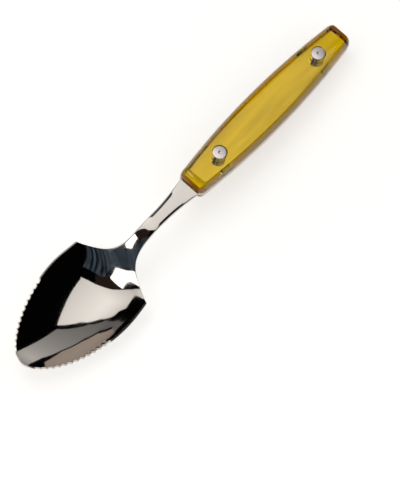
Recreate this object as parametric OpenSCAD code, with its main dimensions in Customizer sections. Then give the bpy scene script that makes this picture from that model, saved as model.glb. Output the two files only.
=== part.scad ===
// Grapefruit spoon. A one-piece steel blank carries the serrated bowl, the neck and a full tang.
// Two clear scales lie on the tang and are held by two cutler's rivets, each a post pressed into a sleeve.
// The spoon lies as on a table: the bowl and the butt touch z = 0, +X runs from the butt to the bowl's tip.

/* [Handle] */
// Length of the scales, from the neck to the butt
handle_len = 88; // [70:0.5:110]
// Width of the handle at its middle
handle_mid_w = 16.6; // [15:0.1:22]
// Width of the handle where the neck enters it
handle_neck_w = 11.2; // [10.5:0.1:14.5]
// Width of the handle at the butt
handle_butt_w = 10.5; // [10:0.1:14.5]
// Corner radius of the handle's outline at the neck
neck_corner_r = 2.2; // [1.5:0.1:3.5]
// Corner radius of the handle's outline at the butt
butt_corner_r = 2.4; // [1.5:0.1:3.5]
// Slope of the handle down to the butt, in degrees
handle_slope = 5; // [3:0.5:9]

/* [Scales] */
// Thickness of one scale
scale_t = 4.8; // [3.5:0.1:6]
// How far the side edge is rounded in
side_set = 1.8; // [1:0.1:2.4]
// How far the neck end is rounded in
neck_set = 3; // [2:0.1:5]
// How far the butt end is rounded in
butt_set = 1.4; // [0.8:0.1:3]
// Film between a scale and the tang
seat_gap = 0.05; // [0.02:0.01:0.15]

/* [Rivets] */
// Distance from the scale's neck end to the first rivet
neck_rivet_at = 16.3; // [12:0.1:22]
// Distance from the scale's butt end to the second rivet
butt_rivet_at = 14.4; // [11:0.1:22]
// Diameter of a rivet head, a plug that fills most of the scale's thickness
head_d = 5.5; // [4.8:0.1:7]
// Thickness of the scale left between a head's shoulder and the tang
web_t = 0.6; // [0.4:0.1:1.5]
// Height of the head's dome above its rim
dome_h = 0.1; // [0.1:0.05:0.4]
// Length of the post held inside the other head
post_grip = 1.8; // [1:0.1:2]
// Outer diameter of the sleeve
sleeve_d = 3.4; // [2.8:0.1:4.2]
// Diameter of the post
post_d = 2.1; // [1.6:0.1:2.4]
// Clearance around a head in its counterbore, on the radius
head_clear = 0.18; // [0.05:0.01:0.25]
// Clearance around the sleeve in its hole, on the radius
shank_clear = 0.05; // [0.02:0.01:0.15]
// Clearance between post and sleeve, on the radius
post_clear = 0.01; // [0.01:0.01:0.05]
// Depth of a dome's top below the scale's face
head_sink = 0.05; // [0:0.01:0.2]

/* [Steel blank] */
// Thickness of the tang and the neck
tang_t = 1.8; // [1.4:0.1:2.6]
// Thickness of the bowl's wall
wall_t = 1.4; // [1:0.1:1.8]
// Width of the neck where it leaves the handle
neck_root_w = 8.8; // [7.5:0.1:9.8]
// Width of the neck at its narrowest
neck_w = 5.4; // [4.5:0.1:7]
// Length of the neck's narrowing stretch, straight on from the handle
neck_len = 19; // [14:0.5:22]
// How far the neck's top is crowned above its side edges
neck_crown = 0.2; // [0.05:0.05:0.4]
// Length from there to the shoulders, where the neck bends down and widens into the bowl
flare_len = 24; // [20:0.2:30]
// Length of the blade, from the shoulders to the tip
blade_len = 49.6; // [40:0.1:60]
// Distance from the shoulders to the widest place
widest_at = 12; // [9:0.5:18]
// Width of the bowl at its shoulders
shoulder_w = 35.4; // [30:0.1:38]
// Width of the bowl at its widest
bowl_w = 37.6; // [32:0.1:42]
// Length of the straight edge behind each shoulder, along the spoon
rear_edge_len = 4; // [2:0.1:6]
// Width of the blank where the straight edges begin
rear_edge_w = 19.8; // [14:0.1:26]
// Height of the side rim above the bowl's bed, inside
bowl_depth = 6.7; // [5:0.1:9]
// Height of the tip above the bowl's bed, inside
tip_rise = 9.5; // [5:0.1:12]

/* [Serration] */
// Pitch of the teeth along the edge
tooth_pitch = 2.4; // [2:0.1:4]
// Depth of the scallops between the teeth
tooth_depth = 0.7; // [0.3:0.05:0.9]
// Distance from the widest place to the first tooth, along the edge
teeth_from = 8; // [4:0.5:12]
// Half the length of the smooth edge around the tip
tip_plain = 4.6; // [3:0.1:7]

/* [Hidden] */
$fn = 48;
overrun = 1;

steel = [0.80, 0.79, 0.77];
rivet_steel = [0.74, 0.73, 0.72];
clear_yellow = [0.87, 0.70, 0.10];

// Lengths of the blank forward of the handle
shoulder_at = neck_len + flare_len;
reach = shoulder_at + blade_len;
half_stack = tang_t / 2 + seat_gap + scale_t;

// Where the handle's front end lies, so that the spoon touches z = 0 and is centred on X
spoon_len = reach + handle_len * cos(handle_slope) + tang_t / 2 * sin(handle_slope);
joint_x = spoon_len / 2 - reach;
joint_z = (handle_len - butt_set) * sin(handle_slope) + half_stack * cos(handle_slope);

// Shapes of the curves
edge_sweep = 65;
front_power = 1.75;
side_power = 1.75;
neck_power = 2;
rise_power = 2.5;
wall_share = 0.3;
bed_from_share = 0.42;
crown_in = 8;
crown_power = 3;

function mix(a, b, share) = a + (b - a) * share;
function clamp01(t) = min(1, max(0, t));
function ease(t) = let (c = clamp01(t)) c * c * (1.5 + c * (4 + c * (3 * c - 7.5)));

// Frame of the handle: u runs from the neck to the butt, z is square to the scales
module in_handle() {
    translate([joint_x, 0, joint_z]) rotate([0, -handle_slope, 0]) mirror([1, 0, 0]) children();
}

// Half the handle's width at u
function handle_half_w(u) = let (s = u / handle_len, bow = handle_mid_w / 2 - (handle_neck_w + handle_butt_w) / 4)
    mix(handle_neck_w, handle_butt_w, s) / 2 + 4 * bow * s * (1 - s);

// One long side of the handle's outline, drawn in by side_in, neck_in and butt_in
corner_steps = 6;
side_steps = 20;
function handle_side(side_in, neck_in, butt_in, neck_r, butt_r) = let (
    u0 = neck_in,
    u1 = handle_len - butt_in
) [
    for (i = [0:corner_steps]) let (a = 90 - 90 * i / corner_steps, u = u0 + neck_r * (1 - sin(a)))
        [u, handle_half_w(u) - side_in - neck_r * (1 - cos(a))],
    for (i = [1:side_steps - 1]) let (u = mix(u0 + neck_r, u1 - butt_r, i / side_steps))
        [u, handle_half_w(u) - side_in],
    for (i = [0:corner_steps]) let (a = 90 * i / corner_steps, u = u1 - butt_r * (1 - sin(a)))
        [u, handle_half_w(u) - side_in - butt_r * (1 - cos(a))]
];

function mirrored(side) = [for (i = [len(side) - 1:-1:0]) [side[i][0], -side[i][1]]];

// The whole outline where the edge is drawn in by a share of the three sets
crisp_share = 0.3;
function handle_ring(share) = let (
    side = handle_side(side_set * share, neck_set * share, butt_set * share,
        mix(neck_corner_r, neck_corner_r * crisp_share, share),
        mix(butt_corner_r, butt_corner_r * crisp_share, share))
) concat(side, mirrored(side));

// A clear scale above z = 0: a flat face inside edges that are rounded on a bowed section
edge_steps = 7;
function edge_in(a) = (1 - cos(a)) / (1 - cos(edge_sweep));
function edge_up(a) = sin(a) / sin(edge_sweep);
module scale_solid() {
    rings = [for (j = [0:edge_steps]) let (a = edge_sweep * j / edge_steps)
        [for (p = handle_ring(edge_in(a))) [p[0], p[1], scale_t * edge_up(a)]]];
    n = len(rings[0]);
    polyhedron(
        points = [for (ring = rings) each ring],
        faces = [
            [for (i = [n - 1:-1:0]) i],
            for (j = [0:edge_steps - 1], i = [0:n - 1]) let (k = (i + 1) % n)
                each [[j * n + i, (j + 1) * n + k, (j + 1) * n + i], [j * n + i, j * n + k, (j + 1) * n + k]],
            [for (i = [0:n - 1]) edge_steps * n + i]
        ],
        convexity = 4
    );
}

// Holes through a scale that lies above z = 0
head_seat = scale_t - web_t;
module rivet_places() {
    for (u = [neck_rivet_at, handle_len - butt_rivet_at]) translate([u, 0, 0]) children();
}
module scale_holes() {
    rivet_places() {
        translate([0, 0, -overrun]) cylinder(d = sleeve_d + 2 * shank_clear, h = scale_t + 2 * overrun);
        translate([0, 0, scale_t - head_seat])
            cylinder(d = head_d + 2 * head_clear, h = head_seat + overrun);
    }
}
module scale() {
    color(clear_yellow, 0.75) difference() {
        scale_solid();
        scale_holes();
    }
}

module upper_scale() {
    in_handle() translate([0, 0, tang_t / 2 + seat_gap]) scale();
}
module lower_scale() {
    in_handle() mirror([0, 0, 1]) translate([0, 0, tang_t / 2 + seat_gap]) scale();
}

// A rivet head whose dome's top is at z = 0, with its shoulder at z = -head_under
head_under = head_seat - head_sink;
module rivet_head() {
    dome_r = (head_d * head_d / 4 + dome_h * dome_h) / (2 * dome_h);
    intersection() {
        translate([0, 0, -head_under]) cylinder(d = head_d, h = head_under);
        translate([0, 0, -dome_r]) sphere(r = dome_r, $fn = 360);
    }
}

// Post and sleeve share the gap between the two shoulders, and the post ends inside the sleeve's head
shoulder_gap = 2 * (half_stack - head_seat);
sleeve_short = 0.3;
post_short = 0.2;
module rivet_post() {
    color(rivet_steel) translate([0, 0, half_stack - head_sink]) {
        rivet_head();
        translate([0, 0, -head_under - shoulder_gap - post_grip])
            cylinder(d = post_d, h = shoulder_gap + post_grip + head_under / 2);
    }
}
module rivet_sleeve() {
    sleeve_len = shoulder_gap - sleeve_short;
    color(rivet_steel) mirror([0, 0, 1]) translate([0, 0, half_stack - head_sink]) difference() {
        union() {
            rivet_head();
            translate([0, 0, -head_under - sleeve_len]) cylinder(d = sleeve_d, h = sleeve_len + head_under / 2);
        }
        translate([0, 0, -head_under - sleeve_len - overrun])
            cylinder(d = post_d + 2 * post_clear, h = overrun + sleeve_len + post_grip + post_short);
    }
}
module at_rivet(u) {
    in_handle() translate([u, 0, 0]) children();
}

// Half the blank's width at x forward of the handle, without teeth
function blade_tau(x) = clamp01((x - shoulder_at - widest_at) / (blade_len - widest_at));
rear_edge_at = shoulder_at - rear_edge_len;
rear_edge_slope = (shoulder_w - rear_edge_w) / rear_edge_len;
flare_power = rear_edge_slope * (rear_edge_at - neck_len) / (rear_edge_w - neck_w);
function blank_half_w(x) =
    x < neck_len ? mix(neck_w, neck_root_w, pow(1 - clamp01(x / neck_len), neck_power)) / 2
    : x < rear_edge_at ? mix(neck_w, rear_edge_w, pow((x - neck_len) / (rear_edge_at - neck_len), flare_power)) / 2
    : x < shoulder_at ? rear_edge_w / 2 + rear_edge_slope / 2 * (x - rear_edge_at)
    : x < shoulder_at + widest_at ? mix(shoulder_w, bowl_w, sin(90 * (x - shoulder_at) / widest_at)) / 2
    : bowl_w / 2 * pow(1 - pow(blade_tau(x), front_power), 1 / side_power);

// Heights along the blank: the spine on the centre line, and the rim that the sides rise to
top_line_z = joint_z + tang_t / 2 / cos(handle_slope);
bed_z = wall_t;
bed_at = shoulder_at + bed_from_share * (widest_at + teeth_from);
function trough(x) = ease((x - neck_len) / (shoulder_at - neck_len));
function wall(x) = mix(tang_t, wall_t, trough(x));
function line_z(x) = mix(top_line_z + x * tan(handle_slope), bed_z, ease((x - neck_len) / (bed_at - neck_len)));
function rise(x) = tip_rise * pow(clamp01((x - bed_at) / (reach - bed_at)), rise_power);
function side_rise(x) = trough(x) * (bed_z + bowl_depth - line_z(x));
function section_rise(t) = (1 - wall_share) * t * t + wall_share * pow(t, 4);
function crown(x) = neck_crown * ease(x / crown_in) * (1 - ease((x - neck_len) / (rear_edge_at - neck_len)));
function top_z(x, y) = line_z(x) + rise(x) + side_rise(x) * section_rise(2 * y / bowl_w)
    - crown(x) * pow(abs(y) / blank_half_w(min(x, rear_edge_at)), crown_power);

// Height of the lower surface, one wall below the upper one and square to it
probe = 0.02;
function slope_x(x, y) = (top_z(x + probe, y) - top_z(x - probe, y)) / (2 * probe);
function slope_y(x, y) = (top_z(x, y + probe) - top_z(x, y - probe)) / (2 * probe);
function under_z(x, y) = top_z(x, y) - wall(x) * sqrt(1 + pow(slope_x(x, y), 2) + pow(slope_y(x, y), 2));

// The blade's edge by length, measured from its widest place to the tip
fine_steps = 160;
function edge_point(a) = let (x = shoulder_at + widest_at + (blade_len - widest_at) * pow(sin(a), 2 / front_power))
    [x, blank_half_w(x)];
edge_fine = [for (i = [0:fine_steps]) edge_point(90 * i / fine_steps)];
function run_lengths(points, i = 0, run = 0, out = []) = i == len(points) - 1 ? concat(out, [run])
    : run_lengths(points, i + 1, run + norm(points[i + 1] - points[i]), concat(out, [run]));
edge_runs = run_lengths(edge_fine);
edge_len = edge_runs[fine_steps];
x_by_run = [for (i = [0:fine_steps]) [edge_runs[i], edge_fine[i][0]]];

// Teeth: pointed between round scallops, from teeth_from up to the plain tip
tooth_count = floor((edge_len - teeth_from - tip_plain) / tooth_pitch);
tooth_steps = 4;
teeth_end = teeth_from + tooth_count * tooth_pitch;
function scallop(run) = run < teeth_from || run > teeth_end ? 0
    : let (f = (run - teeth_from) / tooth_pitch, g = f - floor(f)) tooth_depth * (1 - pow(2 * g - 1, 2));

// Stations along the blank: [x, half width]
root_in = 3;
root_inset = 0.02;
neck_steps = 5;
bend_steps = 14;
rear_steps = 4;
side_stations = 6;
tip_steps = 5;
function plain(x) = [x, blank_half_w(x)];
stations = [
    for (i = [1:neck_steps]) plain(neck_len * i / neck_steps),
    for (i = [1:bend_steps]) plain(mix(neck_len, rear_edge_at, i / bend_steps)),
    for (i = [1:rear_steps]) plain(mix(rear_edge_at, shoulder_at, i / rear_steps)),
    for (i = [1:side_stations]) plain(shoulder_at + widest_at * i / side_stations),
    for (i = [1:3]) plain(lookup(teeth_from * i / 4, x_by_run)),
    for (i = [0:tooth_count * tooth_steps]) let (run = teeth_from + i * tooth_pitch / tooth_steps)
        let (p = plain(lookup(run, x_by_run))) [p[0], p[1] - scallop(run)],
    for (i = [1:tip_steps - 1]) plain(lookup(mix(teeth_end, edge_len, sin(90 * i / tip_steps)), x_by_run))
];

// Across the blank: shares of the half width, from the right side to the left
across_shares = [-1, -0.9, -0.75, -0.6, -0.4, -0.2, 0, 0.2, 0.4, 0.6, 0.75, 0.9, 1];

// A section of the blank: the upper row, then the lower row back
function section(x, half_w, inset = 0) = [
    for (s = across_shares) [x, s * (half_w - inset), top_z(x, s * half_w) - inset],
    for (i = [len(across_shares) - 1:-1:0]) let (s = across_shares[i])
        [x, s * (half_w - inset), under_z(x, s * half_w) + inset]
];
sections = concat(
    [section(-root_in, neck_root_w / 2, root_inset), section(0, neck_root_w / 2, root_inset)],
    [section(tang_t / 4, blank_half_w(tang_t / 4))],
    [for (s = stations) section(s[0], s[1])]
);
tip_top = [reach, 0, top_z(reach, 0)];
tip_under = [reach, 0, under_z(reach, 0)];

module bowl_and_neck() {
    m = 2 * len(across_shares);
    last = len(sections) - 1;
    count = len(sections) * m;
    half = len(across_shares);
    translate([joint_x, 0, 0]) polyhedron(
        points = [for (s = sections) each s, tip_top, tip_under],
        faces = [
            for (i = [0:half - 2]) [m - 1 - i, m - 2 - i, i + 1, i],
            for (j = [0:last - 1], i = [0:m - 1]) let (k = (i + 1) % m)
                each [[j * m + i, (j + 1) * m + k, (j + 1) * m + i], [j * m + i, j * m + k, (j + 1) * m + k]],
            for (i = [0:half - 2]) [last * m + i, last * m + i + 1, count],
            for (i = [half:m - 2]) [last * m + i, last * m + i + 1, count + 1],
            [last * m + half - 1, count + 1, count],
            [last * m + half - 1, last * m + half, count + 1],
            [last * m + m - 1, count, count + 1],
            [last * m + m - 1, last * m, count]
        ],
        convexity = 6
    );
}

module tang() {
    in_handle() translate([0, 0, -tang_t / 2]) linear_extrude(tang_t) polygon(handle_ring(0));
}
module spoon_blank() {
    color(steel) difference() {
        union() {
            bowl_and_neck();
            tang();
        }
        in_handle() rivet_places() translate([0, 0, -tang_t])
            cylinder(d = sleeve_d + 2 * shank_clear, h = 2 * tang_t);
    }
}

spoon_blank();
upper_scale();
lower_scale();
at_rivet(neck_rivet_at) rivet_post();  // neck_rivet_post
at_rivet(neck_rivet_at) rivet_sleeve();  // neck_rivet_sleeve
at_rivet(handle_len - butt_rivet_at) rivet_post();  // butt_rivet_post
at_rivet(handle_len - butt_rivet_at) rivet_sleeve();  // butt_rivet_sleeve
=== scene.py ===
"""Grapefruit spoon: a mirror polished blank with a serrated bowl, clear amber scales and cutler's rivets."""

import bisect
import math

import bpy
from mathutils import Matrix, Vector


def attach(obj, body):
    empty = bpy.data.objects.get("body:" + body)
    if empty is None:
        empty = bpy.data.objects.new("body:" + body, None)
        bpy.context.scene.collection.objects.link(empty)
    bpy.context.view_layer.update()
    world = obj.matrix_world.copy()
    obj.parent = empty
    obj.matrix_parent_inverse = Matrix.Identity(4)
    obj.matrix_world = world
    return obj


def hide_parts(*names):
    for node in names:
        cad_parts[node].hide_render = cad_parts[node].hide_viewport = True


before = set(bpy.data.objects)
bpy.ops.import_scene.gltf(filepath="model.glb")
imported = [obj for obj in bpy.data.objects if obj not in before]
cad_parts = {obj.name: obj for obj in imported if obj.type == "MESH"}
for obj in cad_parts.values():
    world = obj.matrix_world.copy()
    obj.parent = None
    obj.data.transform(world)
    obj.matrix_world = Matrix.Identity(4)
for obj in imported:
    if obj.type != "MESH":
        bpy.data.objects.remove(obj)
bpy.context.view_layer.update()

MM = 0.001
PHOTO_H = 489

# Camera: a long lens high above the table, turned a little about its own axis.
FOCAL_PX = 4000
SENSOR_MM = 36
VIEW_ELEVATION = 71.10
VIEW_AZIMUTH = 28.95
VIEW_ROLL = 13.39
VIEW_DISTANCE = 1500.8 * MM
VIEW_FOCUS = Vector((7.81, 15.80, 0)) * MM


def place_camera():
    elevation, azimuth = math.radians(VIEW_ELEVATION), math.radians(VIEW_AZIMUTH)
    level = math.cos(elevation)
    back = Vector((level * math.cos(azimuth), level * math.sin(azimuth), math.sin(elevation)))
    data = bpy.data.cameras.new("studio_camera")
    data.sensor_width = SENSOR_MM
    data.lens = FOCAL_PX / PHOTO_H * SENSOR_MM
    data.clip_start, data.clip_end = 0.05, 20
    camera = bpy.data.objects.new("studio_camera", data)
    bpy.context.scene.collection.objects.link(camera)
    turn = back.to_track_quat("Z", "Y").to_matrix() @ Matrix.Rotation(math.radians(VIEW_ROLL), 3, "Z")
    camera.matrix_world = Matrix.Translation(VIEW_FOCUS + back * VIEW_DISTANCE) @ turn.to_4x4()
    bpy.context.scene.camera = camera


place_camera()
bpy.context.scene.view_settings.view_transform = "Standard"

# Sizes in mm, as in the part's source
HANDLE_LEN = 88
HANDLE_MID_W, HANDLE_NECK_W, HANDLE_BUTT_W = 16.6, 11.2, 10.5
NECK_CORNER_R, BUTT_CORNER_R = 2.2, 2.4
SLOPE = math.radians(5)
SCALE_T, SEAT_GAP = 4.8, 0.05
SIDE_SET, NECK_SET, BUTT_SET = 1.8, 3, 1.4
NECK_RIVET_AT, BUTT_RIVET_AT = 16.3, HANDLE_LEN - 14.4
HEAD_D, WEB_T, DOME_H, HEAD_SINK = 5.5, 0.6, 0.1, 0.05
POST_GRIP, SLEEVE_D, POST_D = 1.8, 3.4, 2.1
HEAD_CLEAR, SHANK_CLEAR, POST_CLEAR = 0.18, 0.05, 0.01
TANG_T, WALL_T = 1.8, 1.4
NECK_ROOT_W, NECK_W, NECK_LEN, FLARE_LEN, BLADE_LEN = 8.8, 5.4, 19, 24, 49.6
NECK_CROWN, CROWN_IN, CROWN_POWER = 0.2, 8, 3
WIDEST_AT, SHOULDER_W, BOWL_W = 12, 35.4, 37.6
REAR_EDGE_LEN, REAR_EDGE_W = 4, 19.8
BOWL_DEPTH, TIP_RISE = 6.7, 9.5
TOOTH_PITCH, TOOTH_DEPTH, TEETH_FROM, TIP_PLAIN = 2.4, 0.7, 8, 4.6
GROUND_DEPTH = 0.35
RIM_WIDTH, RIM_DROP, RIM_LEFT = 0.62, 0.42, 0.3
EDGE_SWEEP, EDGE_BEVEL = math.radians(65), 0.3
FRONT_POWER, SIDE_POWER, RISE_POWER, WALL_SHARE, BED_SHARE, CRISP_SHARE = 1.75, 1.75, 2.5, 0.3, 0.42, 0.3
ROUND_STEPS = 96

SHOULDER_AT = NECK_LEN + FLARE_LEN
REAR_EDGE_AT = SHOULDER_AT - REAR_EDGE_LEN
REACH = SHOULDER_AT + BLADE_LEN
HALF_STACK = TANG_T / 2 + SEAT_GAP + SCALE_T
SPOON_LEN = REACH + HANDLE_LEN * math.cos(SLOPE) + TANG_T / 2 * math.sin(SLOPE)
JOINT_X = SPOON_LEN / 2 - REACH
JOINT_Z = (HANDLE_LEN - BUTT_SET) * math.sin(SLOPE) + HALF_STACK * math.cos(SLOPE)
BED_AT = SHOULDER_AT + BED_SHARE * (WIDEST_AT + TEETH_FROM)
TOP_LINE_Z = JOINT_Z + TANG_T / 2 / math.cos(SLOPE)
HEAD_SEAT = SCALE_T - WEB_T
HEAD_UNDER = HEAD_SEAT - HEAD_SINK
SHOULDER_GAP = 2 * (HALF_STACK - HEAD_SEAT)
# Where the painted brown shade under the scales' ends begins, at the butt and at the neck
END_SHADE_BUTT_X = JOINT_X - (HANDLE_LEN - BUTT_SET) * math.cos(SLOPE)
END_SHADE_NECK_X = JOINT_X - NECK_SET * math.cos(SLOPE)


def mix(a, b, share):
    return a + (b - a) * share


def clamp01(t):
    return min(1.0, max(0.0, t))


def ease(t):
    c = clamp01(t)
    return c * c * (1.5 + c * (4 + c * (3 * c - 7.5)))


def on_handle(u, v, w):
    """A point of the handle, in mm of the shared frame: u to the butt, v across, w square to the scales."""
    x = JOINT_X - u * math.cos(SLOPE) - w * math.sin(SLOPE)
    z = JOINT_Z - u * math.sin(SLOPE) + w * math.cos(SLOPE)
    return Vector((x, v, z))


# Outlines
def handle_half_w(u):
    s = u / HANDLE_LEN
    bow = HANDLE_MID_W / 2 - (HANDLE_NECK_W + HANDLE_BUTT_W) / 4
    return mix(HANDLE_NECK_W, HANDLE_BUTT_W, s) / 2 + 4 * bow * s * (1 - s)


def handle_side(share, corner_steps, side_steps):
    """One long side of a scale's outline as (u, half width), its edge drawn in by a share of the sets."""
    neck_r = mix(NECK_CORNER_R, NECK_CORNER_R * CRISP_SHARE, share)
    butt_r = mix(BUTT_CORNER_R, BUTT_CORNER_R * CRISP_SHARE, share)
    u0, u1, inset = NECK_SET * share, HANDLE_LEN - BUTT_SET * share, SIDE_SET * share
    side = []
    for i in range(corner_steps + 1):
        a = math.radians(90 - 90 * i / corner_steps)
        u = u0 + neck_r * (1 - math.sin(a))
        side.append((u, handle_half_w(u) - inset - neck_r * (1 - math.cos(a))))
    for i in range(1, side_steps):
        u = mix(u0 + neck_r, u1 - butt_r, i / side_steps)
        side.append((u, handle_half_w(u) - inset))
    for i in range(corner_steps + 1):
        a = math.radians(90 * i / corner_steps)
        u = u1 - butt_r * (1 - math.sin(a))
        side.append((u, handle_half_w(u) - inset - butt_r * (1 - math.cos(a))))
    return side


def blank_half_w(x):
    """Half the blank's width forward of the handle, before the teeth are cut."""
    rear_slope = (SHOULDER_W - REAR_EDGE_W) / REAR_EDGE_LEN
    flare_power = rear_slope * (REAR_EDGE_AT - NECK_LEN) / (REAR_EDGE_W - NECK_W)
    if x < NECK_LEN:
        return mix(NECK_W, NECK_ROOT_W, (1 - clamp01(x / NECK_LEN)) ** 2) / 2
    if x < REAR_EDGE_AT:
        return mix(NECK_W, REAR_EDGE_W, ((x - NECK_LEN) / (REAR_EDGE_AT - NECK_LEN)) ** flare_power) / 2
    if x < SHOULDER_AT:
        return REAR_EDGE_W / 2 + rear_slope / 2 * (x - REAR_EDGE_AT)
    if x < SHOULDER_AT + WIDEST_AT:
        return mix(SHOULDER_W, BOWL_W, math.sin(math.pi / 2 * (x - SHOULDER_AT) / WIDEST_AT)) / 2
    tau = clamp01((x - SHOULDER_AT - WIDEST_AT) / (BLADE_LEN - WIDEST_AT))
    return BOWL_W / 2 * max(0.0, 1 - tau ** FRONT_POWER) ** (1 / SIDE_POWER)


# Pressed shape of the blank
def trough(x):
    """How far the neck has opened into the bowl, from 0 to 1."""
    return ease((x - NECK_LEN) / FLARE_LEN)


def gauge(x):
    """The sheet's thickness, which the press thins in the bowl."""
    return mix(TANG_T, WALL_T, trough(x))


def top_z(x, y):
    """Height of the blank's upper surface forward of the handle."""
    line = mix(TOP_LINE_Z + x * math.tan(SLOPE), WALL_T, ease((x - NECK_LEN) / (BED_AT - NECK_LEN)))
    rise = TIP_RISE * clamp01((x - BED_AT) / (REACH - BED_AT)) ** RISE_POWER
    t = 2 * y / BOWL_W
    sides = trough(x) * (WALL_T + BOWL_DEPTH - line)
    crown = NECK_CROWN * ease(x / CROWN_IN) * (1 - ease((x - NECK_LEN) / (REAR_EDGE_AT - NECK_LEN)))
    return (line + rise + sides * ((1 - WALL_SHARE) * t * t + WALL_SHARE * t ** 4)
            - crown * (abs(y) / blank_half_w(min(x, REAR_EDGE_AT))) ** CROWN_POWER)


def under_z(x, y):
    """The lower surface lies one gauge below the upper one, square to it."""
    probe = 0.02
    along = (top_z(x + probe, y) - top_z(x - probe, y)) / (2 * probe)
    across = (top_z(x, y + probe) - top_z(x, y - probe)) / (2 * probe)
    return top_z(x, y) - gauge(x) * math.sqrt(1 + along ** 2 + across ** 2)


def edge_by_run(count):
    """The blade's edge from its widest place to the tip: run lengths and the x at each."""
    widest = SHOULDER_AT + WIDEST_AT
    xs = [widest + (BLADE_LEN - WIDEST_AT) * math.sin(math.pi / 2 * i / count) ** (2 / FRONT_POWER)
          for i in range(count + 1)]
    runs = [0.0]
    for a, b in zip(xs, xs[1:]):
        runs.append(runs[-1] + math.hypot(b - a, blank_half_w(b) - blank_half_w(a)))
    return runs, xs


EDGE_RUNS, EDGE_XS = edge_by_run(600)
EDGE_LEN = EDGE_RUNS[-1]
TOOTH_COUNT = int((EDGE_LEN - TEETH_FROM - TIP_PLAIN) / TOOTH_PITCH)
TEETH_END = TEETH_FROM + TOOTH_COUNT * TOOTH_PITCH


def x_at_run(run):
    i = min(len(EDGE_RUNS) - 1, max(1, bisect.bisect_left(EDGE_RUNS, run)))
    share = (run - EDGE_RUNS[i - 1]) / (EDGE_RUNS[i] - EDGE_RUNS[i - 1])
    return mix(EDGE_XS[i - 1], EDGE_XS[i], clamp01(share))


def scallop(run):
    """Depth of the cut between two pointed teeth."""
    if run < TEETH_FROM or run > TEETH_END:
        return 0.0
    g = (run - TEETH_FROM) / TOOTH_PITCH % 1
    return TOOTH_DEPTH * (1 - (2 * g - 1) ** 2)


def blank_stations():
    """Rows of the pressed sheet from the butt to the tip: (kind, place, half width, cut at the edge)."""
    rows = []
    for u, half in reversed(handle_side(0, 10, 100)):
        if u == 0 or half > NECK_ROOT_W / 2 or u > NECK_CORNER_R:
            rows.append(("tang", u, NECK_ROOT_W / 2 if u == 0 else half, 0))
    spans = [(0.2, NECK_LEN, 40), (NECK_LEN, REAR_EDGE_AT, 60), (REAR_EDGE_AT, SHOULDER_AT, 16),
             (SHOULDER_AT, SHOULDER_AT + WIDEST_AT, 28)]
    for start, end, steps in spans:
        for i in range(1, steps + 1):
            x = mix(start, end, i / steps)
            rows.append(("blade", x, blank_half_w(x), 0))
    before_teeth, per_tooth, past_teeth = 16, 12, 20
    for i in range(1, before_teeth):
        x = x_at_run(TEETH_FROM * i / before_teeth)
        rows.append(("blade", x, blank_half_w(x), 0))
    for i in range(TOOTH_COUNT * per_tooth + 1):
        run = TEETH_FROM + i * TOOTH_PITCH / per_tooth
        x = x_at_run(run)
        rows.append(("blade", x, blank_half_w(x), scallop(run)))
    for i in range(1, past_teeth):
        x = x_at_run(mix(TEETH_END, EDGE_LEN, i / past_teeth))
        rows.append(("blade", x, blank_half_w(x), 0))
    rows.append(("blade", REACH, 0.0, 0))
    return rows


# Hand tools
def take(obj):
    """Makes obj the only one selected, and the active one."""
    if bpy.context.object and bpy.context.object.mode != "OBJECT":
        bpy.ops.object.mode_set(mode="OBJECT")
    bpy.ops.object.select_all(action="DESELECT")
    obj.select_set(True)
    bpy.context.view_layer.objects.active = obj


def apply_modifier(obj, kind, **settings):
    take(obj)
    modifier = obj.modifiers.new(kind.lower(), kind)
    for key, value in settings.items():
        setattr(modifier, key, value)
    bpy.ops.object.modifier_apply(modifier=modifier.name)


def clean_mesh(obj):
    """Merges points that lie together and turns all faces outwards."""
    take(obj)
    bpy.ops.object.mode_set(mode="EDIT")
    bpy.ops.mesh.select_all(action="SELECT")
    bpy.ops.mesh.remove_doubles(threshold=0.002 * MM)
    bpy.ops.mesh.normals_make_consistent(inside=False)
    bpy.ops.object.mode_set(mode="OBJECT")


def smooth(obj, degrees):
    take(obj)
    bpy.ops.object.shade_smooth_by_angle(angle=math.radians(degrees))


def drill(obj, u, diameter, w_from, w_to):
    """Bores a round hole square to the handle at u, from one height to another."""
    bpy.ops.object.select_all(action="DESELECT")
    centre = on_handle(u, 0, (w_from + w_to) / 2) * MM
    bpy.ops.mesh.primitive_cylinder_add(vertices=ROUND_STEPS, radius=diameter / 2 * MM,
                                        depth=(w_to - w_from) * MM, location=centre,
                                        rotation=(0, -SLOPE, 0))
    bit = bpy.context.object
    apply_modifier(obj, "BOOLEAN", operation="DIFFERENCE", object=bit, solver="EXACT")
    bpy.data.objects.remove(bit)


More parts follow.
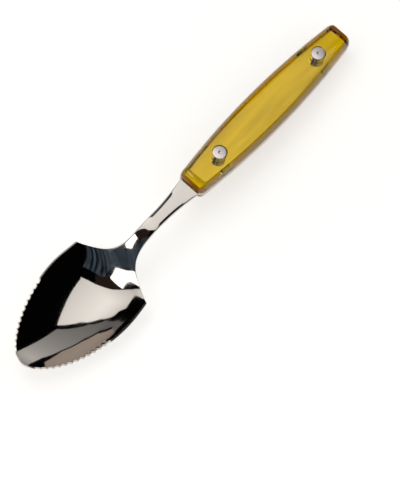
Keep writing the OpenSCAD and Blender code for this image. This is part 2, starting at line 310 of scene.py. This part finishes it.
# Pieces
def press_blank():
    """The steel blank: a sheet given its gauge, pressed to shape with a ground rim, then drilled."""
    rows = blank_stations()
    columns = 58
    inner = 1 - 2 / columns
    bpy.ops.object.select_all(action="DESELECT")
    bpy.ops.mesh.primitive_grid_add(x_subdivisions=len(rows) - 1, y_subdivisions=columns, size=2)
    sheet = bpy.context.object
    sheet.name = "pressed_steel_blank"
    bpy.ops.object.mode_set(mode="EDIT")
    bpy.ops.mesh.select_all(action="SELECT")
    bpy.ops.mesh.extrude_region_move()
    bpy.ops.object.mode_set(mode="OBJECT")
    ground = sheet.data.attributes.new("ground", "FLOAT", "FACE")
    for face in sheet.data.polygons:
        ground.data[face.index].value = float(abs(face.center.y) > inner)
    cut_from, facet_from = 0.82, 0.91
    neck_rim_share, most_of_half, rim_run_in = 0.3, 0.3, 4
    for v in sheet.data.vertices:
        kind, place, half, cut = rows[round((v.co.x + 1) / 2 * (len(rows) - 1))]
        opened = ease((place - NECK_LEN) / (BED_AT - NECK_LEN))
        rim = min(RIM_WIDTH * mix(neck_rim_share, 1, opened), most_of_half * half)
        at_rim = abs(v.co.y) > inner + 0.001
        y = math.copysign(half, v.co.y) if at_rim else v.co.y / inner * (half - rim)
        share = y / half if half > 0.001 else v.co.y
        y -= math.copysign(cut * clamp01((abs(share) - cut_from) / (1 - cut_from)) ** 2, share)
        if kind == "tang":
            v.co = on_handle(place, y, TANG_T / 2 if v.select else -TANG_T / 2) * MM
        else:
            z = top_z(place, y) if v.select else under_z(place, y)
            if v.select:
                facet = clamp01((abs(share) - facet_from) / (1 - facet_from))
                z -= GROUND_DEPTH * cut / TOOTH_DEPTH * facet
            if at_rim and v.select:
                edge_z = top_z(place, math.copysign(abs(y) - rim, y)) - RIM_DROP * rim / RIM_WIDTH
                lowered = max(min(z, edge_z), under_z(place, y) + RIM_LEFT)
                z = mix(z, lowered, clamp01(place / rim_run_in))
            v.co = Vector((JOINT_X + place, y, z)) * MM
    clean_mesh(sheet)
    for u in (NECK_RIVET_AT, BUTT_RIVET_AT):
        drill(sheet, u, SLEEVE_D + 2 * SHANK_CLEAR, -TANG_T, TANG_T)
    smooth(sheet, 40)
    return sheet


def mark_bonded(scale, side):
    """Marks the face that clear resin bonds to the tang, so that it gets no mirror of its own."""
    bonded = scale.data.attributes.new("bonded", "FLOAT", "FACE")
    for face in scale.data.polygons:
        place = face.center / MM
        w = (JOINT_X - place.x) * math.sin(SLOPE) + (place.z - JOINT_Z) * math.cos(SLOPE)
        bonded.data[face.index].value = float(abs(w * side - TANG_T / 2 - SEAT_GAP) < 0.01)


def mould_scale(name, side):
    """A clear scale: its outline drawn up ring by ring to the flat face, then bored for the rivets."""
    corner_steps, side_steps, edge_steps = 14, 90, 22

    def ring(a):
        share = (1 - math.cos(a)) / (1 - math.cos(EDGE_SWEEP))
        w = TANG_T / 2 + SEAT_GAP + SCALE_T * math.sin(a) / math.sin(EDGE_SWEEP)
        right = handle_side(share, corner_steps, side_steps)
        outline = right + [(u, -v) for u, v in reversed(right)]
        return [on_handle(u, v, side * w) * MM for u, v in outline]

    first = ring(0)
    bpy.ops.object.select_all(action="DESELECT")
    bpy.ops.mesh.primitive_circle_add(vertices=len(first), fill_type="NGON")
    scale = bpy.context.object
    scale.name = name
    for v, place in zip(scale.data.vertices, first):
        v.co = place
    take(scale)
    bpy.ops.object.mode_set(mode="EDIT")
    bpy.ops.mesh.select_all(action="SELECT")
    for j in range(1, edge_steps + 1):
        bpy.ops.mesh.extrude_region_move()
        bpy.ops.object.mode_set(mode="OBJECT")
        lifted = [v for v in scale.data.vertices if v.select]
        for v, place in zip(lifted, ring(EDGE_SWEEP * j / edge_steps)):
            v.co = place
        bpy.ops.object.mode_set(mode="EDIT")
    bpy.ops.object.mode_set(mode="OBJECT")
    clean_mesh(scale)
    apply_modifier(scale, "BEVEL", width=EDGE_BEVEL * MM, segments=4, limit_method="ANGLE",
                   angle_limit=math.radians(30))
    shoulder = TANG_T / 2 + SEAT_GAP + WEB_T
    inside_tang, past_shoulder, past_top = 0.2, 0.5, 1
    bores = ((SLEEVE_D + 2 * SHANK_CLEAR, inside_tang, shoulder + past_shoulder),
             (HEAD_D + 2 * HEAD_CLEAR, shoulder, HALF_STACK + past_top))
    for u in (NECK_RIVET_AT, BUTT_RIVET_AT):
        for diameter, low, high in bores:
            drill(scale, u, diameter, *sorted((side * low, side * high)))
    mark_bonded(scale, side)
    smooth(scale, 28)
    return scale


def turn_rivet(name, u, side, profile):
    """A rivet half, turned from its profile of (radius, height over the dome's top), in its place."""
    bpy.ops.object.select_all(action="DESELECT")
    bpy.ops.mesh.primitive_circle_add(vertices=len(profile), fill_type="NOTHING")
    half = bpy.context.object
    half.name = name
    for v, (radius, height) in zip(half.data.vertices, profile):
        v.co = Vector((radius, 0, height)) * MM
    take(half)
    bpy.ops.object.mode_set(mode="EDIT")
    bpy.ops.mesh.select_all(action="DESELECT")
    bpy.ops.object.mode_set(mode="OBJECT")
    last = len(profile) - 1
    for e in half.data.edges:
        e.select = set(e.vertices) == {0, last}
    bpy.ops.object.mode_set(mode="EDIT")
    bpy.ops.mesh.delete(type="EDGE_FACE")
    bpy.ops.mesh.select_all(action="SELECT")
    bpy.ops.mesh.spin(steps=ROUND_STEPS, angle=2 * math.pi, center=(0, 0, 0), axis=(0, 0, 1))
    bpy.ops.object.mode_set(mode="OBJECT")
    clean_mesh(half)
    turned = half.data.attributes.new("turning", "FLOAT", "POINT")
    for v in half.data.vertices:
        turned.data[v.index].value = math.hypot(v.co.x, v.co.y) / MM
        x, y, z = v.co / MM
        v.co = on_handle(u - side * x, y, side * (HALF_STACK - HEAD_SINK + z)) * MM
    smooth(half, 30)
    return half


def head_profile():
    """Crown of a rivet head from its axis out to its rim, with a lathe centre in the middle."""
    dome_r = (HEAD_D ** 2 / 4 + DOME_H ** 2) / (2 * DOME_H)
    mark_r, mark_depth, chamfer, steps = 0.65, 0.42, 0.16, 12
    crown = [(0, -mark_depth)]
    for i in range(steps + 1):
        r = mix(mark_r, HEAD_D / 2 - chamfer, i / steps)
        crown.append((r, math.sqrt(dome_r ** 2 - r ** 2) - dome_r))
    rim, in_share, down_share = crown[-1][1], 0.3, 0.45
    crown.append((HEAD_D / 2 - chamfer * in_share, rim - chamfer * down_share))
    crown.append((HEAD_D / 2, rim - chamfer))
    return crown


def post_profile():
    end = -HEAD_UNDER - SHOULDER_GAP - POST_GRIP
    chamfer = 0.2
    shank = [(HEAD_D / 2, -HEAD_UNDER), (POST_D / 2, -HEAD_UNDER), (POST_D / 2, end + chamfer)]
    return head_profile() + shank + [(POST_D / 2 - chamfer, end), (0, end)]


def sleeve_profile():
    mouth_gap, bore_spare = 0.3, 0.2
    tube_end = -HEAD_UNDER - (SHOULDER_GAP - mouth_gap)
    bore_end = -HEAD_UNDER + POST_GRIP + bore_spare
    bore_r = POST_D / 2 + POST_CLEAR
    tube = [(HEAD_D / 2, -HEAD_UNDER), (SLEEVE_D / 2, -HEAD_UNDER), (SLEEVE_D / 2, tube_end)]
    return head_profile() + tube + [(bore_r, tube_end), (bore_r, bore_end), (0, bore_end)]


# Materials
def linear(hex_colour):
    """An sRGB hex colour as linear RGBA."""
    parts = [int(hex_colour[i:i + 2], 16) / 255 for i in (1, 3, 5)]
    return [p / 12.92 if p <= 0.04045 else ((p + 0.055) / 1.055) ** 2.4 for p in parts] + [1]


def add_node(tree, kind, settings=None, **inputs):
    """Adds a node. Settings are its properties, inputs its sockets by name (_ for a space) or number."""
    made = tree.nodes.new(kind)
    for key, value in (settings or {}).items():
        setattr(made, key, value)
    for key, value in inputs.items():
        socket = made.inputs[int(key[1:])] if key[1:].isdigit() else made.inputs[key.replace("_", " ")]
        if isinstance(value, bpy.types.NodeSocket):
            tree.links.new(value, socket)
        else:
            socket.default_value = value
    return made


def new_material(name):
    material = bpy.data.materials.new(name)
    material.use_nodes = True
    tree = material.node_tree
    tree.nodes.clear()
    return material, tree


def polished_stainless():
    """Stainless steel polished on a mop to a mirror, so it looks black and white with warm grey between.

    The cut edge of the sheet is only ground, which leaves it satin. The polishing lines are drawn
    coarser than real ones, so that they still blur the reflections a little.
    """
    line_len, line_w = 16.67, 0.714
    material, tree = new_material("mirror_polished_stainless")
    place = add_node(tree, "ShaderNodeTexCoord").outputs["Object"]
    fineness = Vector((1 / line_len, 1 / line_w, 1 / line_w)) / MM
    along = add_node(tree, "ShaderNodeMapping", Vector=place, Scale=fineness).outputs[0]
    lines = add_node(tree, "ShaderNodeTexNoise", Vector=along, Scale=1, Detail=3,
                     Roughness=0.6).outputs["Fac"]
    haze = add_node(tree, "ShaderNodeMapRange", Value=lines, From_Min=0.3, From_Max=0.75, To_Min=0.03,
                    To_Max=0.075).outputs[0]
    bump = add_node(tree, "ShaderNodeBump", Strength=0.02, Distance=0.02 * MM, Height=lines).outputs[0]
    ground = add_node(tree, "ShaderNodeAttribute", {"attribute_name": "ground"}).outputs["Fac"]
    finish = add_node(tree, "ShaderNodeMapRange", Value=ground, To_Min=haze, To_Max=0.42).outputs[0]
    surface = add_node(tree, "ShaderNodeBsdfPrincipled", Base_Color=linear("#CFC8C0"), Metallic=1.0,
                       Roughness=finish, Normal=bump)
    add_node(tree, "ShaderNodeOutputMaterial", Surface=surface.outputs[0])
    return material


def clear_acrylic():
    """Amber cast acrylic, polished all over: clear, and a deeper yellow where it is thick.

    Faint clouds in the resin make the yellow uneven. A flat brown is painted under the scales' rounded ends,
    as painted shade for the dark band seen there through the plastic.
    """
    cloud_len, cloud_w = 33.3, 3.85
    material, tree = new_material("clear_amber_cast_acrylic")
    glass = add_node(tree, "ShaderNodeBsdfPrincipled", Base_Color=linear("#FFFFFF"), Roughness=0.02, IOR=1.49,
                     Transmission_Weight=1.0).outputs[0]
    through = add_node(tree, "ShaderNodeBsdfTransparent", Color=linear("#F7E9A0")).outputs[0]
    shadow = add_node(tree, "ShaderNodeLightPath").outputs["Is Shadow Ray"]
    bonded = add_node(tree, "ShaderNodeAttribute", {"attribute_name": "bonded"}).outputs["Fac"]
    place = add_node(tree, "ShaderNodeTexCoord").outputs["Object"]
    fineness = Vector((1 / cloud_len, 1 / cloud_w, 1 / cloud_w)) / MM
    along = add_node(tree, "ShaderNodeMapping", Vector=place, Scale=fineness).outputs[0]
    clouds = add_node(tree, "ShaderNodeTexNoise", Vector=along, Scale=1, Detail=2).outputs["Fac"]
    resin = add_node(tree, "ShaderNodeMapRange", Value=clouds, From_Min=0.35, From_Max=0.65,
                     To_Min=0.9).outputs[0]
    clear = add_node(tree, "ShaderNodeBsdfTransparent", Color=resin).outputs[0]
    x = add_node(tree, "ShaderNodeSeparateXYZ", Vector=place).outputs[0]
    at_butt = add_node(tree, "ShaderNodeMath", {"operation": "LESS_THAN"}, _0=x,
                       _1=END_SHADE_BUTT_X * MM).outputs[0]
    at_neck = add_node(tree, "ShaderNodeMath", {"operation": "GREATER_THAN"}, _0=x,
                       _1=END_SHADE_NECK_X * MM).outputs[0]
    ends = add_node(tree, "ShaderNodeMath", {"operation": "MAXIMUM"}, _0=at_butt, _1=at_neck).outputs[0]
    # Painted shade: a flat diffuse brown on the bonded faces at both ends, in place of the dark band seen
    # there through the plastic
    painted_end_shade = add_node(tree, "ShaderNodeBsdfDiffuse", Color=linear("#C09058")).outputs[0]
    clear_or_end_shade = add_node(tree, "ShaderNodeMixShader", _0=ends, _1=clear, _2=painted_end_shade).outputs[0]
    body = add_node(tree, "ShaderNodeMixShader", _0=bonded, _1=glass, _2=clear_or_end_shade).outputs[0]
    surface = add_node(tree, "ShaderNodeMixShader", _0=shadow, _1=body, _2=through).outputs[0]
    dye = add_node(tree, "ShaderNodeVolumeAbsorption", Color=linear("#FEF600"), Density=508).outputs[0]
    add_node(tree, "ShaderNodeOutputMaterial", Surface=surface, Volume=dye)
    return material


def turned_steel():
    """Rivet steel faced on a lathe: satin, with faint rings round its centre, drawn coarse to show."""
    ring_pitch = 0.2856
    material, tree = new_material("lathe_faced_rivet_steel")
    radius = add_node(tree, "ShaderNodeAttribute", {"attribute_name": "turning"}).outputs["Fac"]
    turns = add_node(tree, "ShaderNodeMath", {"operation": "MULTIPLY"}, _0=radius,
                     _1=2 * math.pi / ring_pitch).outputs[0]
    rings = add_node(tree, "ShaderNodeMath", {"operation": "SINE"}, _0=turns).outputs[0]
    bump = add_node(tree, "ShaderNodeBump", Strength=0.15, Distance=0.01 * MM, Height=rings).outputs[0]
    surface = add_node(tree, "ShaderNodeBsdfPrincipled", Base_Color=linear("#F5EBE6"), Metallic=1.0,
                       Roughness=0.28, Normal=bump)
    add_node(tree, "ShaderNodeOutputMaterial", Surface=surface.outputs[0])
    return material


def finish_piece(piece, material, slot_name, *nodes):
    piece.data.materials.clear()
    piece.data.materials.append(material)
    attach(piece, "root")
    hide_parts(*nodes)


steel, acrylic, rivet_steel = polished_stainless(), clear_acrylic(), turned_steel()
finish_piece(press_blank(), steel, "steel", "spoon_blank")
for place, side in (("upper", 1), ("lower", -1)):
    finish_piece(mould_scale(place + "_clear_scale", side), acrylic, "clear_yellow", place + "_scale")
for place, u in (("neck", NECK_RIVET_AT), ("butt", BUTT_RIVET_AT)):
    for half, side, profile in (("post", 1, post_profile()), ("sleeve", -1, sleeve_profile())):
        finish_piece(turn_rivet(place + "_" + half, u, side, profile), rivet_steel, "rivet_steel",
                     place + "_rivet_" + half)


# Studio: each card's corners are told by how far they lean, seen from the middle of the bowl
BOWL_AT = Vector((0.058, 0, 0.005))


def glow(name, strength, colour="#FFFFFF"):
    material, tree = new_material(name)
    light = add_node(tree, "ShaderNodeEmission", Color=linear(colour), Strength=strength).outputs[0]
    add_node(tree, "ShaderNodeOutputMaterial", Surface=light)
    return material


def lit_card(name, strength, brightest, height, reach, edge_share=0.5, colour="#FFFFFF", in_plastic=1.0):
    """A card with its full strength where it leans by brightest, fading to edge_share of it at the reach.

    Clear plastic shows it in_plastic times as bright.
    """
    material, tree = new_material(name)
    place = add_node(tree, "ShaderNodeTexCoord").outputs["Object"]
    centre = BOWL_AT + Vector((brightest[0], brightest[1], 1)) * height
    scaled = add_node(tree, "ShaderNodeMapping", Vector=place, Location=-centre / reach,
                      Scale=(1 / reach,) * 3).outputs[0]
    ball = add_node(tree, "ShaderNodeTexGradient", {"gradient_type": "SPHERICAL"},
                    Vector=scaled).outputs["Fac"]
    level = add_node(tree, "ShaderNodeMapRange", Value=ball, To_Min=strength * edge_share,
                     To_Max=strength).outputs[0]
    through = add_node(tree, "ShaderNodeLightPath").outputs["Is Transmission Ray"]
    gain = add_node(tree, "ShaderNodeMapRange", Value=through, To_Min=1.0, To_Max=in_plastic).outputs[0]
    seen = add_node(tree, "ShaderNodeMath", {"operation": "MULTIPLY"}, _0=level, _1=gain).outputs[0]
    light = add_node(tree, "ShaderNodeEmission", Color=linear(colour), Strength=seen).outputs[0]
    add_node(tree, "ShaderNodeOutputMaterial", Surface=light)
    return material


def streaky_wall():
    """A dark blue wall with paler streaks, like a dim room behind the softbox."""
    material, tree = new_material("streaky_blue_wall")
    place = add_node(tree, "ShaderNodeTexCoord").outputs["Object"]
    across = add_node(tree, "ShaderNodeMapping", Vector=place, Scale=(0.6, 6.0, 1.0)).outputs[0]
    streaks = add_node(tree, "ShaderNodeTexNoise", Vector=across, Scale=1.2, Detail=2).outputs["Fac"]
    level = add_node(tree, "ShaderNodeMapRange", Value=streaks, From_Min=0.38, From_Max=0.66, To_Min=0.02,
                     To_Max=0.25).outputs[0]
    light = add_node(tree, "ShaderNodeEmission", Color=linear("#98B2CC"), Strength=level).outputs[0]
    add_node(tree, "ShaderNodeOutputMaterial", Surface=light)
    return material


def seen_directly(tree):
    """1 where the camera, polished metal or clear plastic shows a background, 0 for light on the object."""
    path = add_node(tree, "ShaderNodeLightPath").outputs
    mirrored = add_node(tree, "ShaderNodeMath", {"operation": "MAXIMUM"}, _0=path["Is Glossy Ray"],
                        _1=path["Is Transmission Ray"]).outputs[0]
    return add_node(tree, "ShaderNodeMath", {"operation": "MAXIMUM"}, _0=path["Is Camera Ray"],
                    _1=mirrored).outputs[0]


def lay_table():
    """A plain white table that keeps the spoon's shadow."""
    bpy.ops.object.select_all(action="DESELECT")
    bpy.ops.mesh.primitive_plane_add(size=16)
    table = bpy.context.object
    table.name = "studio_table"
    material, tree = new_material("white_studio_table")
    paint = add_node(tree, "ShaderNodeBsdfDiffuse", Color=linear("#E6E4E0")).outputs[0]
    lift = add_node(tree, "ShaderNodeMath", {"operation": "MULTIPLY"}, _0=seen_directly(tree),
                    _1=0.56).outputs[0]
    light = add_node(tree, "ShaderNodeEmission", Color=linear("#FFFFFF"), Strength=lift).outputs[0]
    surface = add_node(tree, "ShaderNodeAddShader", _0=paint, _1=light).outputs[0]
    add_node(tree, "ShaderNodeOutputMaterial", Surface=surface)
    table.data.materials.append(material)


def stand_card(name, corners, height, material):
    """A flat card above the table, its corners given by their lean (x, y) for a rise of one."""
    bpy.ops.object.select_all(action="DESELECT")
    bpy.ops.mesh.primitive_circle_add(vertices=len(corners), fill_type="NGON")
    card = bpy.context.object
    card.name = name
    for v, (x, y) in zip(card.data.vertices, corners):
        v.co = BOWL_AT + Vector((x, y, 1)) * height
    card.data.materials.append(material)
    card.visible_camera = False


def darken_room():
    """The dark room round the table, which polished steel shows as black and clear plastic as grey."""
    size, floor_drop = 12, 0.1
    bpy.ops.object.select_all(action="DESELECT")
    bpy.ops.mesh.primitive_cube_add(size=size, location=(0, 0, size / 2 - floor_drop))
    room = bpy.context.object
    room.name = "dark_studio_room"
    material, tree = new_material("dark_walls")
    through = add_node(tree, "ShaderNodeLightPath").outputs["Is Transmission Ray"]
    level = add_node(tree, "ShaderNodeMapRange", Value=through, To_Min=0.001, To_Max=0.38).outputs[0]
    wall = add_node(tree, "ShaderNodeEmission", Color=linear("#FFFFFF"), Strength=level).outputs[0]
    add_node(tree, "ShaderNodeOutputMaterial", Surface=wall)
    room.data.materials.append(material)
    room.visible_camera = room.visible_diffuse = room.visible_shadow = False


def light_panel(name, direction, distance, size, radiance):
    """A rectangular soft light in that direction from the bowl, facing it, which no surface mirrors."""
    data = bpy.data.lights.new(name, "AREA")
    data.shape = "RECTANGLE"
    data.size, data.size_y = size
    data.energy = radiance * size[0] * size[1] * math.pi
    panel = bpy.data.objects.new(name, data)
    bpy.context.scene.collection.objects.link(panel)
    toward = Vector(direction).normalized()
    turn = toward.to_track_quat("Z", "Y").to_matrix().to_4x4()
    panel.matrix_world = Matrix.Translation(BOWL_AT + toward * distance) @ turn
    panel.visible_glossy = panel.visible_transmission = False


def light_room():
    world = bpy.data.worlds.new("studio_room")
    bpy.context.scene.world = world
    world.use_nodes = True
    tree = world.node_tree
    tree.nodes.clear()
    level = add_node(tree, "ShaderNodeMapRange", Value=seen_directly(tree), To_Min=0.5).outputs[0]
    sky = add_node(tree, "ShaderNodeBackground", Color=linear("#FFFFFF"), Strength=level).outputs[0]
    add_node(tree, "ShaderNodeOutputWorld", Surface=sky)


lay_table()
light_room()
darken_room()
stand_card("white_ceiling_card",
           ((-0.24, 0.30), (0.0, -0.06), (0.33, -0.38), (0.74, -0.66), (-0.28, -1.68), (-0.48, -1.38),
            (-0.44, -0.83), (-0.51, -0.42), (-0.71, -0.12), (-0.47, 0.07)),
           2.0, lit_card("white_card", 1.34, (-0.25, -0.55), 2.0, 2.6))
stand_card("white_side_card", ((0.86, -0.66), (1.0, -0.52), (1.7, -0.44), (1.9, -1.0), (0.9, -1.2)),
           2.0, glow("side_card", 1.0))
stand_card("grey_side_card",
           ((-0.76, -0.18), (-0.61, -0.43), (-0.51, -0.66), (-0.49, -1.15), (-0.75, -2.41), (-1.7, -6.0),
            (-2.0, -6.0), (-0.84, -2.42), (-0.68, -1.46), (-0.79, -1.05), (-1.17, -0.80), (-1.85, -0.68),
            (-2.8, -0.76), (-6.0, -1.4), (-6.0, 0.1), (-2.0, -0.08)),
           0.8, lit_card("grey_card", 0.66, (-2.2, -0.5), 0.8, 1.5, 0.26, in_plastic=2.0))
stand_card("low_front_card",
           ((-0.75, -1.50), (-0.86, -1.11), (-1.21, -0.85), (-2.05, -0.94), (-2.6, -1.4), (-7.0, -6.0),
            (-7.0, -9.0), (-2.6, -8.0), (-1.02, -2.94)),
           0.5, lit_card("low_card", 0.50, (-1.2, -1.6), 0.5, 3.6, 0.5, "#F2E2D6"))
stand_card("window_softbox", ((0.77, -0.24), (1.40, -0.29), (1.53, -0.36), (1.38, -0.43), (0.645, -0.55)),
           1.3, glow("softbox", 3.0))
stand_card("brown_wall", ((0.0, -0.06), (0.32, 0.04), (0.77, -0.22), (0.66, -0.56), (0.33, -0.38)),
           2.4, glow("dim_brown", 0.03, "#E6BEA8"))
stand_card("blue_grey_wall", ((0.10, 0.42), (1.0, 0.42), (2.6, 0.0), (2.6, -0.8), (0.5, -0.1)),
           2.3, streaky_wall())
light_panel("key_light", (-0.25, -0.45, 0.85), 2.4, (1.5, 1.5), 1.2)
